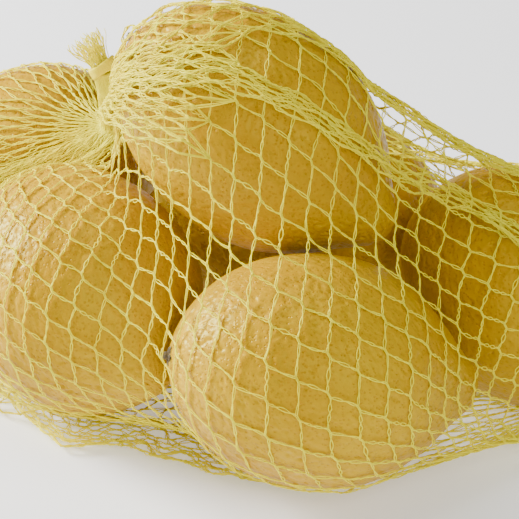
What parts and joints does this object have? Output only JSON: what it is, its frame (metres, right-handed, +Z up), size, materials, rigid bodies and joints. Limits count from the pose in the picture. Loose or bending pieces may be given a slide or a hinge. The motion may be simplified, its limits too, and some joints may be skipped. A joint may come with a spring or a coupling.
{
  "type": "mesh produce bag",
  "caption": "Knitted mesh produce bag drawn tight over a heap of lemons and gathered at two banded necks, for storing and carrying fruit.",
  "frame": {"origin": "middle of the rectangle that the filled bag covers, on the surface that it lies on", "axes": "+X along the bag towards its end neck, +Y away from the front lemon, +Z up"},
  "size_m": [0.2459, 0.1752, 0.1134],
  "materials": {
    "net": "thin translucent polyethylene filament",
    "band": "melted smooth plastic",
    "peel": "waxy dimpled lemon peel",
    "stem": "dry stem button"
  },
  "bodies": {
    "bag": {"net_sleeve": "net", "band_top": "band", "tuft_top": "net", "band_end": "band", "tuft_end": "net"},
    "fruit_front": {"lemon_front": "peel", "calyx_front": "stem"},
    "fruit_left": {"lemon_left": "peel", "calyx_left": "stem"},
    "fruit_rear_left": {"lemon_rear_left": "peel", "calyx_rear_left": "stem"},
    "fruit_top": {"lemon_top": "peel", "calyx_top": "stem"},
    "fruit_right": {"lemon_right": "peel", "calyx_right": "stem"},
    "fruit_rear": {"lemon_rear": "peel", "calyx_rear": "stem"}
  },
  "joints": [
    {"name": "roll_front", "type": "hinge", "parent": "bag", "child": "fruit_front", "pos_m": [-0.0031, -0.0554, 0.0323], "axis": [0.9797, 0.0909, -0.1788], "range_deg": [-35, 35]},
    {"name": "roll_left", "type": "hinge", "parent": "bag", "child": "fruit_left", "pos_m": [-0.0672, -0.0182, 0.0335], "axis": [0.5003, -0.8493, -0.1685], "range_deg": [-35, 35]},
    {"name": "roll_rear_left", "type": "hinge", "parent": "bag", "child": "fruit_rear_left", "pos_m": [-0.083, 0.0549, 0.0329], "axis": [0.9382, 0.3139, 0.1461], "range_deg": [-35, 35]},
    {"name": "roll_top", "type": "hinge", "parent": "bag", "child": "fruit_top", "pos_m": [-0.0196, -0.01, 0.0782], "axis": [0.7905, -0.3839, -0.4772], "range_deg": [-35, 35]},
    {"name": "roll_right", "type": "hinge", "parent": "bag", "child": "fruit_right", "pos_m": [0.0533, -0.0151, 0.0328], "axis": [0.6391, -0.7174, -0.2773], "range_deg": [-35, 35]},
    {"name": "roll_rear", "type": "hinge", "parent": "bag", "child": "fruit_rear", "pos_m": [-0.0108, 0.032, 0.0312], "axis": [-0.9978, -0.061, -0.0244], "range_deg": [-35, 35]}
  ]
}
